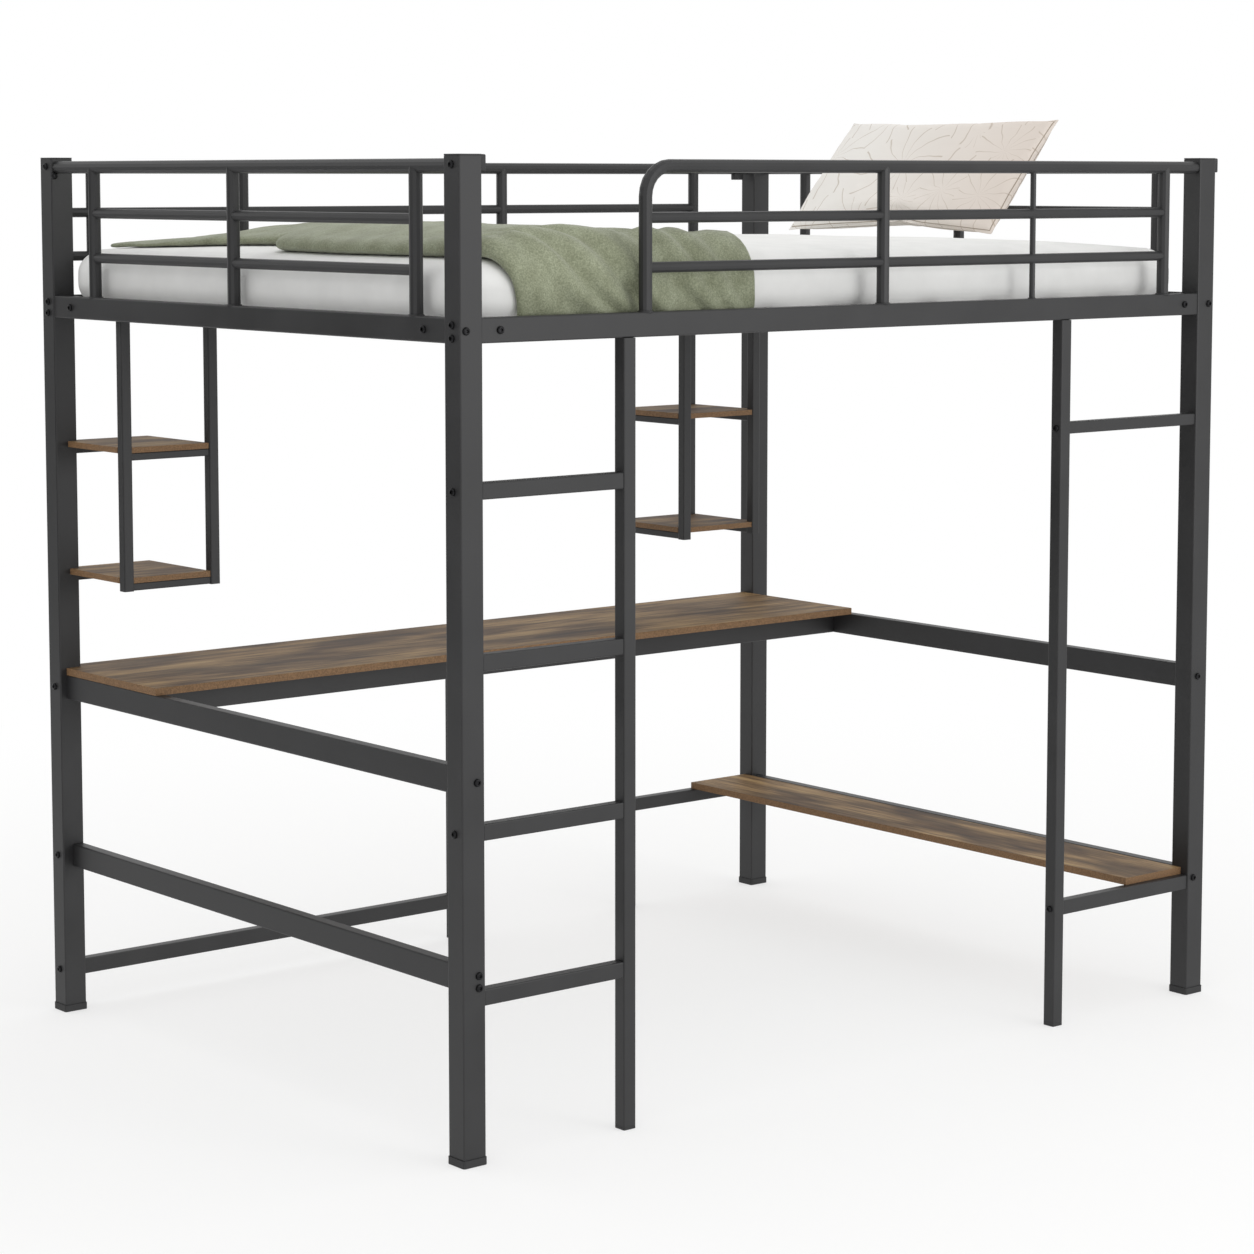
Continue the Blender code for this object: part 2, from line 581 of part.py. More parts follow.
def main():
    clear_scene()
    steel = make_material("black_steel", (0.030, 0.031, 0.032), 0.42, 0.0)
    plastic = make_material("black_plastic", (0.020, 0.020, 0.021), 0.55)
    wood = make_material("brown_board", (0.150, 0.088, 0.050), 0.60)
    white = make_material("white_ticking", (0.80, 0.80, 0.79), 0.90)
    green = make_material("sage_fleece", (0.33, 0.36, 0.25), 0.95)
    cream = make_material("cream_cotton", (0.76, 0.71, 0.65), 0.90)

    make_posts(steel, plastic)
    make_bed_rails(steel)
    make_bed_base(steel)
    make_end_guard("guard_rail_left", -1, steel)
    make_end_guard("guard_rail_right", 1, steel)
    make_back_guard(steel)
    make_front_guard(steel)
    make_desk(steel, wood)
    make_desk_legs(steel, plastic)
    make_lower_rails(steel)
    make_bench(wood)
    make_ladder(steel, plastic)
    make_support_frame(steel, plastic)
    make_left_shelf_frame(steel)
    make_right_shelf_frame(steel)
    make_shelf_boards(wood)
    bed_top = make_mattress(white)
    make_throw(green, bed_top)
    make_pillow(cream)


main()
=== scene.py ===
"""Loft bed with desk: the finished look of the bolted steel frame, its boards and its bedding."""
import json
from math import cos, exp, pi, radians, sin
import bpy
import bmesh
from mathutils import Matrix, Vector, noise


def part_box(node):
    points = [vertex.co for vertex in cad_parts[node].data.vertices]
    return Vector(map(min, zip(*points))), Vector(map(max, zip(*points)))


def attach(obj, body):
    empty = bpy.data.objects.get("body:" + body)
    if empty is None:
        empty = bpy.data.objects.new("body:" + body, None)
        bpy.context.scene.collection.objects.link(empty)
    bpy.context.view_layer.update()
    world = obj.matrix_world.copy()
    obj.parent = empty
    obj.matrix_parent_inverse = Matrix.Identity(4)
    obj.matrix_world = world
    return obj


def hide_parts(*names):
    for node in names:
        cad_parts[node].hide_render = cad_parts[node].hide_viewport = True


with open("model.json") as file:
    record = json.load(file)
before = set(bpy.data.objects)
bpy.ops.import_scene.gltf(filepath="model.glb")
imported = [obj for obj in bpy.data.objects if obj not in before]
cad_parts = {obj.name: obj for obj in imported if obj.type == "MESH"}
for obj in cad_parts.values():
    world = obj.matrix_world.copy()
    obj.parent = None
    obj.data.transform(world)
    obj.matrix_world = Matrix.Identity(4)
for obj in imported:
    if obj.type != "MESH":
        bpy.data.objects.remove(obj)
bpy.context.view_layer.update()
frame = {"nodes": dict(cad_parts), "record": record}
nodes = frame["nodes"]

# ---- camera, floor and light --------------------------------------------------------------------
# A long lens from the foot end of the ladder side, at the height of the guard rails.
# The studio is a white floor that fades into a white sky, with a soft lamp on the ladder side and
# one overhead; a dark flag beyond the foot end keeps the faces on that side deeper in tone.
HEADING, DIP = radians(39.485), radians(5.726)          # turned from +Y towards +X, and downwards
bpy.ops.object.select_all(action="DESELECT")
lens = bpy.data.cameras.new("camera")
lens.lens, lens.sensor_width = 92.6, 36.0
lens.shift_y = -0.10
lens.clip_end = 400.0
camera = bpy.data.objects.new("camera", lens)
bpy.context.scene.collection.objects.link(camera)
camera.location = (-4.309, -5.207, 1.748)
look = Vector((sin(HEADING) * cos(DIP), cos(HEADING) * cos(DIP), -sin(DIP)))
camera.rotation_mode = "QUATERNION"
camera.rotation_quaternion = look.to_track_quat("-Z", "Y")
bpy.context.scene.camera = camera
bpy.context.scene.view_settings.view_transform = "Standard"
bpy.context.scene.view_settings.look = "None"


def linear(colour):
    """An sRGB hex colour as linear RGBA."""
    channels = [int(colour[i:i + 2], 16) / 255 for i in (1, 3, 5)]
    return (*[c / 12.92 if c <= 0.04045 else ((c + 0.055) / 1.055) ** 2.4 for c in channels], 1.0)


def add(tree, kind, inputs=None, stops=(), **settings):
    """Adds a shader node with its settings, values, links and, on a ramp, its colour stops."""
    new = tree.nodes.new("ShaderNode" + kind)
    for name, value in settings.items():
        setattr(new, name, value)
    for name, value in (inputs or {}).items():
        if isinstance(value, bpy.types.NodeSocket):
            tree.links.new(value, new.inputs[name])
        else:
            new.inputs[name].default_value = value
    for position, _ in stops[2:]:
        new.color_ramp.elements.new(position)
    for number, (position, colour) in enumerate(stops):
        element = new.color_ramp.elements[number]
        element.position, element.color = position, linear(colour)
    return new


def new_material(name):
    """A named material with its node tree, its shader and its Object coordinates."""
    material = bpy.data.materials.new(name)
    material.use_nodes = True
    tree = material.node_tree
    place = add(tree, "TexCoord")
    return material, tree, tree.nodes["Principled BSDF"], place.outputs["Object"]


# Matt white floor paint: no gloss. It glows more with distance, so the floor ends in the sky.
FLOOR_SIZE = 300.0
FADE_START, FADE_END, LEAST_GLOW = 1.6, 4.0, 0.62       # metres from the middle, share of glow
bpy.ops.mesh.primitive_plane_add(size=FLOOR_SIZE, location=(0, 0, -0.001))
floor = bpy.context.object
floor.name = "studio_floor"
floor_paint, tree, shader, place = new_material("matt_floor_paint")
shader.inputs["Base Color"].default_value = linear("#f8f8f7")
shader.inputs["Roughness"].default_value = 0.9
shader.inputs["Specular IOR Level"].default_value = 0.1
reach = add(tree, "VectorMath", {0: place}, operation="LENGTH")
fade = add(tree, "MapRange", {"Value": reach.outputs["Value"], "From Min": FADE_START,
                              "From Max": FADE_END, "To Min": LEAST_GLOW},
           interpolation_type="SMOOTHSTEP")
glow = add(tree, "Emission", {"Color": linear("#ffffff"), "Strength": 1.0})
cover = add(tree, "MixShader", {0: fade.outputs[0], 1: shader.outputs[0], 2: glow.outputs[0]})
tree.links.new(cover.outputs[0], tree.nodes["Material Output"].inputs["Surface"])
floor.data.materials.append(floor_paint)

# Black flag cloth on a stand, 5.4 m long and 1.9 m high: it only takes light away.
bpy.ops.mesh.primitive_plane_add(size=1.0)
flag = bpy.context.object
flag.name = "dark_flag"
flag.data.transform(Matrix.Translation((-4.2, 2.6, 0.95)) @ Matrix.Rotation(radians(62), 4, "Z")
                    @ Matrix.Rotation(radians(90), 4, "X") @ Matrix.Diagonal((5.4, 1.9, 1.0, 1.0)))
flag_cloth, tree, shader, place = new_material("dark_flag_cloth")
shader.inputs["Base Color"].default_value = linear("#161616")
shader.inputs["Roughness"].default_value = 1.0
flag.data.materials.append(flag_cloth)
flag.visible_camera = False

world = bpy.data.worlds.new("studio")
bpy.context.scene.world = world
world.use_nodes = True
world.node_tree.nodes["Background"].inputs["Color"].default_value = linear("#ffffff")
world.node_tree.nodes["Background"].inputs["Strength"].default_value = 1.0


def soft_lamp(name, place, target, size, power):
    """A round soft lamp at a place, turned to a target; its size is in metres, its power in watts."""
    light = bpy.data.lights.new(name, "AREA")
    light.shape, light.size, light.energy = "DISK", size, power
    lamp = bpy.data.objects.new(name, light)
    bpy.context.scene.collection.objects.link(lamp)
    lamp.location = place
    lamp.rotation_mode = "QUATERNION"
    lamp.rotation_quaternion = (Vector(target) - Vector(place)).to_track_quat("-Z", "Y")


soft_lamp("front_softbox", (1.5, -5.7, 2.1), (0.0, 0.0, 0.9), 2.6, 62.0)
soft_lamp("top_softbox", (-0.5, -0.5, 5.0), (0.0, 0.0, 1.0), 3.0, 5.0)

# ---- powder-coated steel tube -------------------------------------------------------------------
# Square and round mild-steel tube, welded and then powder-coated satin charcoal. Powder coat is an
# even, faintly pebbled skin: low sheen and soft highlights, and pebbles of 2.4 mm, drawn a little
# coarser than real ones so that they show. Slow clouds about 11 cm across vary the roughness and
# lighten the colour in places; the lighter clouds are painted highlight.
powder_coat, tree, shader, place = new_material("charcoal_powder_coat")
clouds = add(tree, "TexNoise", {"Vector": place, "Scale": 9.0, "Detail": 3.0})
# Painted highlight: the lighter clouds in this ramp stand in for faint streaks of light.
charcoal = add(tree, "ValToRGB", {"Fac": clouds.outputs["Fac"]},
               stops=((0.30, "#1c1c1d"), (0.70, "#252526")))
tree.links.new(charcoal.outputs["Color"], shader.inputs["Base Color"])
pebble = add(tree, "TexNoise", {"Vector": place, "Scale": 420.0, "Detail": 1.0})
satin = add(tree, "MapRange", {"Value": clouds.outputs["Fac"], "To Min": 0.40, "To Max": 0.52})
tree.links.new(satin.outputs[0], shader.inputs["Roughness"])
skin = add(tree, "Bump", {"Height": pebble.outputs["Fac"], "Strength": 0.12, "Distance": 0.0006})
tree.links.new(skin.outputs["Normal"], shader.inputs["Normal"])
shader.inputs["IOR"].default_value = 1.5


def nodes_of(slot):
    """The names of the CAD nodes in one of the record's material slots."""
    return [entry["node"] for entry in frame["record"]["subparts"] if entry["material_slot"] == slot]


def clothe(material, *names):
    """Puts one material on CAD nodes."""
    for name in names:
        slots = nodes[name].material_slots
        for slot in slots:
            slot.material = material
        if not slots:
            nodes[name].data.materials.append(material)


clothe(powder_coat, *nodes_of("black_steel"))

# ---- plastic caps and feet ----------------------------------------------------------------------
# Injection-moulded black polyethylene plugs and cups, pressed on the tube ends.
# Moulded plastic is a fine spark texture, blacker and duller than the coated steel beside it.
moulded_plastic, tree, shader, place = new_material("moulded_black_polyethylene")
spark = add(tree, "TexNoise", {"Vector": place, "Scale": 700.0, "Detail": 2.0})
patches = add(tree, "TexNoise", {"Vector": place, "Scale": 30.0, "Detail": 2.0})
black = add(tree, "ValToRGB", {"Fac": patches.outputs["Fac"]},
            stops=((0.3, "#1d1d1e"), (0.7, "#262627")))
tree.links.new(black.outputs["Color"], shader.inputs["Base Color"])
grit = add(tree, "Bump", {"Height": spark.outputs["Fac"], "Strength": 0.2, "Distance": 0.0004})
tree.links.new(grit.outputs["Normal"], shader.inputs["Normal"])
shader.inputs["Roughness"].default_value = 0.58
clothe(moulded_plastic, *nodes_of("black_plastic"))

# ---- laminated boards ---------------------------------------------------------------------------
# Particle board under a printed oak melamine, brown with darker growth bands, and a plain flecked
# edge band. The grain runs along each board: fibres 7 mm wide, growth bands 4 cm wide that wander,
# and darker blotches of 8 by 27 cm. Melamine is hard and nearly matt, with shallow pressed pores.


def oak_laminate(name, along):
    """Rustic oak melamine with its grain along X (0) or Y (1)."""
    material, tree, shader, place = new_material(name)

    def drawn_out(across, lengthwise):
        """How many times a pattern repeats in a metre, across the grain and along it."""
        return (across, lengthwise, across) if along else (lengthwise, across, across)

    grain = add(tree, "Mapping", {"Vector": place, "Scale": drawn_out(9.0, 1.0)})
    wander = add(tree, "TexNoise", {"Vector": grain.outputs["Vector"], "Scale": 1.6, "Detail": 3.0})
    bent = add(tree, "VectorMath", {0: wander.outputs["Color"], 1: (0.35, 0.35, 0.35)},
               operation="MULTIPLY")
    shifted = add(tree, "VectorMath", {0: grain.outputs["Vector"], 1: bent.outputs[0]},
                  operation="ADD")
    bands = add(tree, "TexNoise", {"Vector": shifted.outputs[0], "Scale": 2.6, "Detail": 9.0,
                                   "Roughness": 0.70})
    fine_place = add(tree, "Mapping", {"Vector": place, "Scale": drawn_out(150.0, 6.0)})
    fibres = add(tree, "TexNoise", {"Vector": fine_place.outputs["Vector"], "Scale": 1.0,
                                    "Detail": 6.0, "Roughness": 0.6})
    blotch_place = add(tree, "Mapping", {"Vector": place, "Scale": drawn_out(7.0, 2.2)})
    blotches = add(tree, "TexNoise", {"Vector": blotch_place.outputs["Vector"], "Scale": 1.7,
                                      "Detail": 2.0})
    wood = add(tree, "ValToRGB", {"Fac": bands.outputs["Fac"]},
               stops=((0.30, "#5a4932"), (0.44, "#816746"), (0.56, "#a6885d"), (0.75, "#bea277")))
    fibre_tone = add(tree, "ValToRGB", {"Fac": fibres.outputs["Fac"]},
                     stops=((0.36, "#8d7a66"), (0.56, "#ffffff")))
    worn = add(tree, "MixRGB", {"Fac": 0.75, "Color1": wood.outputs["Color"],
                                "Color2": fibre_tone.outputs["Color"]}, blend_type="MULTIPLY")
    patch_tone = add(tree, "ValToRGB", {"Fac": blotches.outputs["Fac"]},
                     stops=((0.36, "#857263"), (0.58, "#ffffff")))
    face = add(tree, "MixRGB", {"Fac": 0.85, "Color1": worn.outputs[0],
                                "Color2": patch_tone.outputs["Color"]}, blend_type="MULTIPLY")
    up = add(tree, "SeparateXYZ", {0: tree.nodes["Texture Coordinate"].outputs["Normal"]})
    level = add(tree, "Math", {0: up.outputs["Z"]}, operation="ABSOLUTE")
    on_edge = add(tree, "Math", {0: level.outputs[0], 1: 0.5}, operation="LESS_THAN")
    chips = add(tree, "TexNoise", {"Vector": place, "Scale": 380.0, "Detail": 2.0})
    band_tone = add(tree, "ValToRGB", {"Fac": chips.outputs["Fac"]},
                    stops=((0.34, "#684f36"), (0.66, "#876849")))
    whole = add(tree, "MixRGB", {"Fac": on_edge.outputs[0], "Color1": face.outputs[0],
                                 "Color2": band_tone.outputs["Color"]})
    tree.links.new(whole.outputs[0], shader.inputs["Base Color"])
    gloss = add(tree, "MapRange", {"Value": fibres.outputs["Fac"], "To Min": 0.55, "To Max": 0.68})
    shader.inputs["Specular IOR Level"].default_value = 0.3
    tree.links.new(gloss.outputs[0], shader.inputs["Roughness"])
    pores = add(tree, "Bump", {"Height": fibres.outputs["Fac"], "Strength": 0.15,
                               "Distance": 0.0004})
    tree.links.new(pores.outputs["Normal"], shader.inputs["Normal"])
    return material


clothe(oak_laminate("rustic_oak_melamine_long", 0), "desk_board", "shelf_board_left_upper",
       "shelf_board_left_lower", "shelf_board_right_upper", "shelf_board_right_lower")
clothe(oak_laminate("rustic_oak_melamine_cross", 1), "bench_board")

# ---- bolts --------------------------------------------------------------------------------------
# M8 button-head socket bolts, black oxide over steel, through the posts into the rails' ends.
# Black oxide is nearly black with a soft metallic glint on the dome, and the socket reads black.
black_oxide, tree, shader, place = new_material("black_oxide_steel")
rub = add(tree, "TexNoise", {"Vector": place, "Scale": 260.0, "Detail": 2.0})
oxide = add(tree, "ValToRGB", {"Fac": rub.outputs["Fac"]},
            stops=((0.35, "#161617"), (0.70, "#2a2a2c")))
tree.links.new(oxide.outputs["Color"], shader.inputs["Base Color"])
shader.inputs["Metallic"].default_value = 0.8
shader.inputs["Roughness"].default_value = 0.38
BOLT_HEAD, BOLT_RISE, BOLT_SUNK = 0.0072, 0.0042, 0.001  # radius, height over the steel, and in it
DOME, SOCKET_RIM, SOCKET_DEPTH = 0.0026, 0.0014, 0.0022


def make_bolt(name, place, axis):
    """A domed head with a socket, pushed into the steel at a place, looking along an axis."""
    bpy.ops.object.select_all(action="DESELECT")
    bpy.ops.mesh.primitive_cylinder_add(vertices=24, radius=BOLT_HEAD, depth=BOLT_RISE + BOLT_SUNK,
                                        location=(0, 0, 0))
    bolt = bpy.context.object
    bolt.name = name
    bpy.ops.object.mode_set(mode="EDIT")
    bpy.ops.mesh.select_mode(type="FACE")
    shape = bmesh.from_edit_mesh(bolt.data)
    for face in shape.faces:
        face.select_set(face.normal.z > 0.9)
    bmesh.update_edit_mesh(bolt.data)
    bpy.ops.mesh.bevel(offset=DOME, segments=4, affect="EDGES")
    shape = bmesh.from_edit_mesh(bolt.data)
    top = max(face.calc_center_median().z for face in shape.faces)
    for face in shape.faces:
        face.select_set(face.calc_center_median().z > top - 0.00001 and face.normal.z > 0.9)
    bmesh.update_edit_mesh(bolt.data)
    bpy.ops.mesh.inset(thickness=SOCKET_RIM)
    bpy.ops.mesh.extrude_region_move(TRANSFORM_OT_translate={"value": (0, 0, -SOCKET_DEPTH)})
    bpy.ops.object.mode_set(mode="OBJECT")
    bpy.ops.object.shade_smooth_by_angle(angle=radians(30))
    turn = Vector((0, 0, 1)).rotation_difference(Vector(axis)).to_matrix().to_4x4()
    rise = Vector(axis) * (BOLT_RISE - BOLT_SUNK) / 2
    bolt.data.transform(Matrix.Translation(Vector(place) + rise) @ turn)
    bolt.data.materials.append(black_oxide)
    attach(bolt, "frame")


def mid_height(node):
    """The height of the middle of a CAD node."""
    low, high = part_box(node)
    return (low.z + high.z) / 2


post_low, post_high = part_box("post_front_left")
end_x, end_y = -post_low.x, -post_low.y                  # the posts' outer faces
mid_y = -(post_low.y + post_high.y) / 2                  # the posts' middle, from the bed's
rail_z = mid_height("bed_rail_front")
desk_z = mid_height("desk_end_rail_left")
low_z = mid_height("lower_end_rail_left")
bench_z = mid_height("lower_end_rail_right")
GUARD_Z = 1.772                                          # the guards' top bars
RUNG_Z, SUPPORT_Z, BACK_LOW_Z = (1.204, 0.599), (1.2415, 0.246), 0.0885
SUPPORT_FACE = (0.526, -0.711)                           # the support leg's left face, X and Y
PAIR = 0.011                                             # half the distance between paired bolts
RAIL_BACK = 0.002                                        # the rails' faces behind the posts'
LEFT, RIGHT, FRONT, BACK = (-1, 0, 0), (1, 0, 0), (0, -1, 0), (0, 1, 0)
bolt_places = []
for side_y in (-1, 1):
    for z in (GUARD_Z, rail_z + 0.010, rail_z - 0.013):
        bolt_places.append(((-end_x, side_y * mid_y, z), LEFT))
        bolt_places.append(((end_x, side_y * mid_y, z), RIGHT))
for z in RUNG_Z:
    bolt_places.append(((-end_x, -mid_y, z), LEFT))
for z in SUPPORT_Z:
    bolt_places.append(((end_x, -mid_y, z), RIGHT))
    bolt_places.append(((*SUPPORT_FACE, z), LEFT))
for z in (desk_z, low_z, BACK_LOW_Z):
    bolt_places.append(((-end_x, mid_y, z), LEFT))
for z in (SUPPORT_Z[1], desk_z):
    bolt_places.append(((end_x, mid_y, z), RIGHT))
for side_y, axis in ((-1, FRONT), (1, BACK)):
    for x, z in ((-0.977, rail_z), (0.975, rail_z), (-0.957, desk_z), (0.961, desk_z),
                 (-0.955, low_z + PAIR), (-0.955, low_z - PAIR), (0.958, bench_z)):
        bolt_places.append(((x, side_y * end_y, z), axis))
    for x in (-0.901, 0.901):
        bolt_places.append(((x, side_y * (end_y - RAIL_BACK), rail_z), axis))
for side_x, axis in ((-1, LEFT), (1, RIGHT)):
    for y in (0.615, -0.615):
        bolt_places.append(((side_x * (end_x - RAIL_BACK), y, rail_z), axis))
for number, (bolt_place, axis) in enumerate(bolt_places, 1):
    make_bolt(f"bolt_{number:02d}", bolt_place, axis)

# ---- weld beads ---------------------------------------------------------------------------------
# Every upright of the guards is welded all round where it stands on its rail: a low uneven ring of
# weld metal, ground a little and powder-coated over with the rest of the frame, so it shows only
# as a soft swelling at the foot of the bar.
BAR, PIN, BEAD = 0.0125, 0.006, 0.0021                   # radii of the uprights, the pin, the weld
guard_x, guard_y = end_x - 0.0145, end_y - 0.0145        # the guards' middle lines
rail_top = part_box("bed_rail_front")[1].z
weld_places = [(side * guard_x, y, BAR) for side in (-1, 1) for y in (-0.577, 0.0155, 0.533)]
weld_places += [(x, guard_y, BAR) for x in (-0.878, -0.507, 0.194, 0.773)]
weld_places += [(-0.561, -guard_y, BAR), (0.035, -guard_y, BAR), (0.451, -guard_y, PIN),
                (0.844, -guard_y, BAR)]
for number, (x, y, radius) in enumerate(weld_places, 1):
    bpy.ops.object.select_all(action="DESELECT")
    bpy.ops.mesh.primitive_torus_add(major_segments=40, minor_segments=8,
                                     major_radius=radius + 0.0006, minor_radius=BEAD)
    bead = bpy.context.object
    bead.name = f"weld_bead_{number:02d}"
    for vertex in bead.data.vertices:
        uneven = noise.noise(Vector((vertex.co.x * 220, vertex.co.y * 220, number * 3.0)))
        vertex.co.z *= 1 + 0.35 * uneven
        vertex.co += Vector((x, y, rail_top))
    bpy.ops.object.shade_smooth()
    bead.data.materials.append(powder_coat)
    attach(bead, "frame")

# ---- guard brackets and small fittings ----------------------------------------------------------
# Black plastic end brackets hooked over the right-hand faces of the two ladder-side posts, one
# clip under the back guard's top bar, and the small screw beside the left guard's fixing.


def make_block(name, low, high, rounding, material):
    """A block with rounded edges between two corners."""
    bpy.ops.object.select_all(action="DESELECT")
    bpy.ops.mesh.primitive_cube_add(size=1.0)
    block = bpy.context.object
    block.name = name
    low, high = Vector(low), Vector(high)
    block.data.transform(Matrix.Translation((low + high) / 2)
                         @ Matrix.Diagonal((*(high - low), 1.0)))
    bpy.ops.object.mode_set(mode="EDIT")
    bpy.ops.mesh.select_all(action="SELECT")
    bpy.ops.mesh.bevel(offset=rounding, segments=3, affect="EDGES")
    bpy.ops.object.mode_set(mode="OBJECT")
    bpy.ops.object.shade_smooth_by_angle(angle=radians(40))
    block.data.materials.append(material)
    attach(block, "frame")


for name, face_x in (("near", post_high.x), ("right", end_x)):
    make_block(f"guard_bracket_{name}", (face_x - 0.0005, -end_y + 0.004, 1.760),
               (face_x + 0.0125, -mid_y + 0.016, 1.7895), 0.0025, moulded_plastic)
    make_block(f"guard_bracket_tab_{name}", (face_x - 0.0005, -end_y + 0.008, 1.727),
               (face_x + 0.004, -mid_y + 0.012, 1.761), 0.0012, moulded_plastic)
make_bolt("guard_screw_left", (-end_x + 0.006, mid_y - 0.0245, 1.753), FRONT)
make_block("back_guard_clip", (0.898, 0.701, 1.744), (0.926, 0.716, 1.7585), 0.002,
           moulded_plastic)

# ---- mattress -----------------------------------------------------------------------------------
# A foam mattress in a white stretch-knit cover: rounded all round, a little crowned on top, and
# slightly full at the sides where it fills the rails. The knit is matt and downy, drawn as a 1 mm
# fuzz over soft hollows about 7 cm across; the hollows show as painted shade, the white a little
# darker where the cover dips.
ROUND, CUTS = 0.048, 48                                  # the edges' radius, cuts along each side
CROWN, LIP, DIMPLES = 0.024, 0.004, 0.0022               # rise in the middle, fall at the edge
mattress_low, mattress_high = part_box("mattress")
size, middle = mattress_high - mattress_low, (mattress_low + mattress_high) / 2
front_face = mattress_low.y + 0.020                      # pulled in, for the throw to hang before it
mattress_low.y = front_face
bpy.ops.object.select_all(action="DESELECT")
bpy.ops.mesh.primitive_cube_add(size=1.0)
mattress = bpy.context.object
mattress.name = "mattress_cover"
bpy.ops.object.mode_set(mode="EDIT")
bpy.ops.mesh.select_all(action="SELECT")
bpy.ops.mesh.subdivide(number_cuts=CUTS)
bpy.ops.object.mode_set(mode="OBJECT")
for vertex in mattress.data.vertices:
    # The cuts crowd towards the edges, and whatever stands past the rounding is drawn in to it.
    spread = [(1 - (1 - min(1.0, abs(2 * c))) ** 1.7) * (1 if c > 0 else -1) for c in vertex.co]
    point = Vector([(mattress_low[i] + mattress_high[i]) / 2
                    + spread[i] * (mattress_high[i] - mattress_low[i]) / 2 for i in range(3)])
    core = Vector([min(max(point[i], mattress_low[i] + ROUND), mattress_high[i] - ROUND)
                   for i in range(3)])
    out = point - core
    vertex.co = core + out.normalized() * ROUND if out.length > 0 else point


def top_rise(x, y):
    """How far the crowned top stands over the flat one at a place."""
    u, v = (x - middle.x) / (size.x / 2), (y - middle.y) / (size.y / 2)
    crown = CROWN * (1 - min(1, u ** 6)) * (1 - min(1, v ** 6))
    return crown - LIP + DIMPLES * noise.noise(Vector((x * 4, y * 4, 0.0)))


for vertex in mattress.data.vertices:
    x, y, z = vertex.co
    share = (z - middle.z) / (size.z / 2)
    if share > 0:
        vertex.co.z += share * top_rise(x, y)
    vertex.co.x -= 0.004 * share ** 2 * max(-1, min(1, (x - middle.x) * 6))
    vertex.co.y -= 0.003 * share ** 2 * max(-1, min(1, (y - middle.y) * 9))
bpy.ops.object.shade_smooth()
stretch_knit, tree, shader, place = new_material("white_stretch_knit")
fuzz = add(tree, "TexNoise", {"Vector": place, "Scale": 900.0, "Detail": 2.0})
hollows = add(tree, "TexNoise", {"Vector": place, "Scale": 14.0, "Detail": 3.0})
# Painted shade: the white is a little darker in the hollows, where the cover dips.
white = add(tree, "ValToRGB", {"Fac": hollows.outputs["Fac"]},
            stops=((0.3, "#e7e7e5"), (0.7, "#eeeeec")))
tree.links.new(white.outputs["Color"], shader.inputs["Base Color"])
height = add(tree, "Math", {0: fuzz.outputs["Fac"], 1: 0.25}, operation="MULTIPLY")
total = add(tree, "Math", {0: height.outputs[0], 1: hollows.outputs["Fac"]}, operation="ADD")
pile = add(tree, "Bump", {"Height": total.outputs[0], "Strength": 0.25, "Distance": 0.002})
tree.links.new(pile.outputs["Normal"], shader.inputs["Normal"])
shader.inputs["Roughness"].default_value = 0.9
shader.inputs["Specular IOR Level"].default_value = 0.2
mattress.data.materials.append(stretch_knit)
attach(mattress, "mattress")
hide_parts("mattress")

# ---- throw --------------------------------------------------------------------------------------
# A sage polyester-fleece throw, about 1.90 m x 1.40 m and 4 mm thick, folded in three and laid over
# the foot of the bed. Its front end hangs inside the rail, creased where it turns over the edge.
# Fleece is quite matt with a faint sheen, in tufts of 3 mm that lie lighter or darker, and its
# colour is darkened in patches of about 4 cm: painted shade.
INNER, TUCK, UNDER, TURN, UPPER, BROW = 56, 8, 62, 20, 72, 14  # columns of the folded width
TUCK_END = INNER + TUCK
UNDER_END = TUCK_END + UNDER
TURN_END = UNDER_END + TURN
UPPER_END = TURN_END + UPPER
COLUMNS, ROWS = UPPER_END + BROW, 150
EDGE, FLEECE = 0.050, 0.0040                             # radius of the turn, the cloth's thickness
BASE, PILE_TOP, PILE_HUNG = 0.0026, 0.043, 0.0112        # heights of the bottom and the top layer
FOOT_SIDE, HEAD_SIDE = -0.868, -0.292                    # the folded width on the bed, in X
# Each fold (or crease, where its height is negative): where it crosses the edge in X, its slant,
# width and height, and how far it reaches on to the top.
CREASES = ((-0.855, 0.90, 0.030, 0.0060, 0.05), (-0.800, 1.25, 0.024, 0.0120, 0.14),
           (-0.768, 1.35, 0.010, -0.0070, 0.07), (-0.722, 1.20, 0.034, 0.0135, 0.17),
           (-0.676, 1.30, 0.012, -0.0105, 0.12), (-0.640, 1.15, 0.022, 0.0120, 0.10),
           (-0.590, 1.05, 0.036, 0.0110, 0.13), (-0.548, 1.20, 0.010, -0.0090, 0.05),
           (-0.505, 0.95, 0.024, 0.0125, 0.11), (-0.462, 1.00, 0.012, -0.0060, 0.06),
           (-0.425, 0.85, 0.038, 0.0115, 0.12), (-0.372, 0.75, 0.013, -0.0080, 0.05),
           (-0.325, 0.55, 0.030, 0.0070, 0.06))
TALLEST = 0.0155                                         # no fold stands higher than this


def smooth(value, start, end):
    """A soft step from 0 at start to 1 at end."""
    share = max(0.0, min(1.0, (value - start) / (end - start)))
    return share * share * (3 - 2 * share)


back_y, drop_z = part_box("throw")[1].y - 0.022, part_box("throw")[0].z - 0.010
turn_y = front_face + EDGE
top_length, turn_length = back_y - turn_y, EDGE * pi / 2
drop_length = mattress_high.z - EDGE - drop_z
whole_length = top_length + turn_length + drop_length


